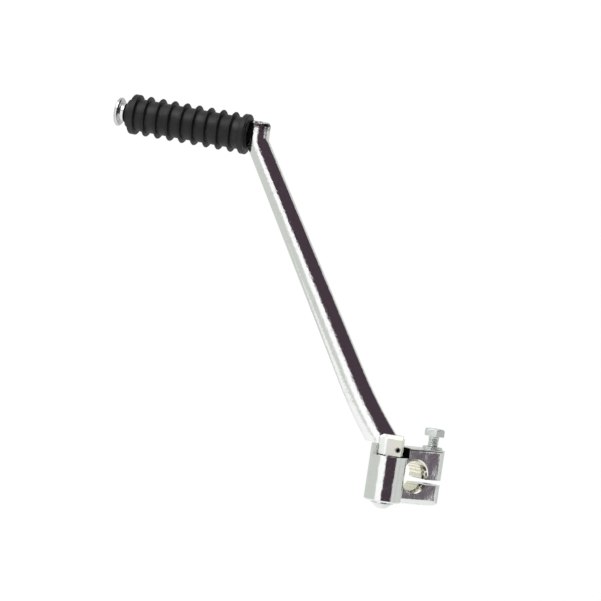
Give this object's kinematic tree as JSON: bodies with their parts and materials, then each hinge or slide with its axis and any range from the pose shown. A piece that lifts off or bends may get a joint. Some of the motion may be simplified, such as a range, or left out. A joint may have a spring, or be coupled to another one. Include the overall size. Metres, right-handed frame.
{
  "type": "kick start lever",
  "caption": "Folding kick start lever with a serrated pinch hub, a spring-detented pivot pin, a tapered plated arm and a ribbed rubber pedal.",
  "frame": {"origin": "middle of the spindle bore, on its axis", "axes": "+Y along the spindle bore, away from the engine; +Z along the fold pin, towards the pedal; +X towards the clamp ears"},
  "size_m": [0.1491, 0.1649, 0.2049],
  "materials": {
    "hub_plating": "bright plating over a forged skin",
    "knuckle_plating": "bright plating with a warm tint",
    "arm_plating": "bright plating over a forged skin",
    "hardware_plating": "plated, satin",
    "bolt_plating": "zinc plated",
    "spring_steel": "dark spring steel",
    "black_rubber": "matt moulded rubber"
  },
  "bodies": {
    "hub": {"hub": "hub_plating", "head_washer": "hardware_plating", "detent_ball": "spring_steel", "detent_spring": "spring_steel", "pinch_bolt": "bolt_plating", "lock_washer": "bolt_plating"},
    "arm": {"knuckle": "knuckle_plating", "lever_arm": "arm_plating", "pivot_pin": "hardware_plating", "roll_pin": "spring_steel", "pedal_spigot": "arm_plating", "pedal_rubber": "black_rubber", "end_washer": "hardware_plating"}
  },
  "joints": [
    {"name": "arm_fold", "type": "hinge", "parent": "hub", "child": "arm", "pos_m": [-0.0146, 0, 0], "axis": [0, 0, 1], "range_deg": [-35, 55]}
  ]
}
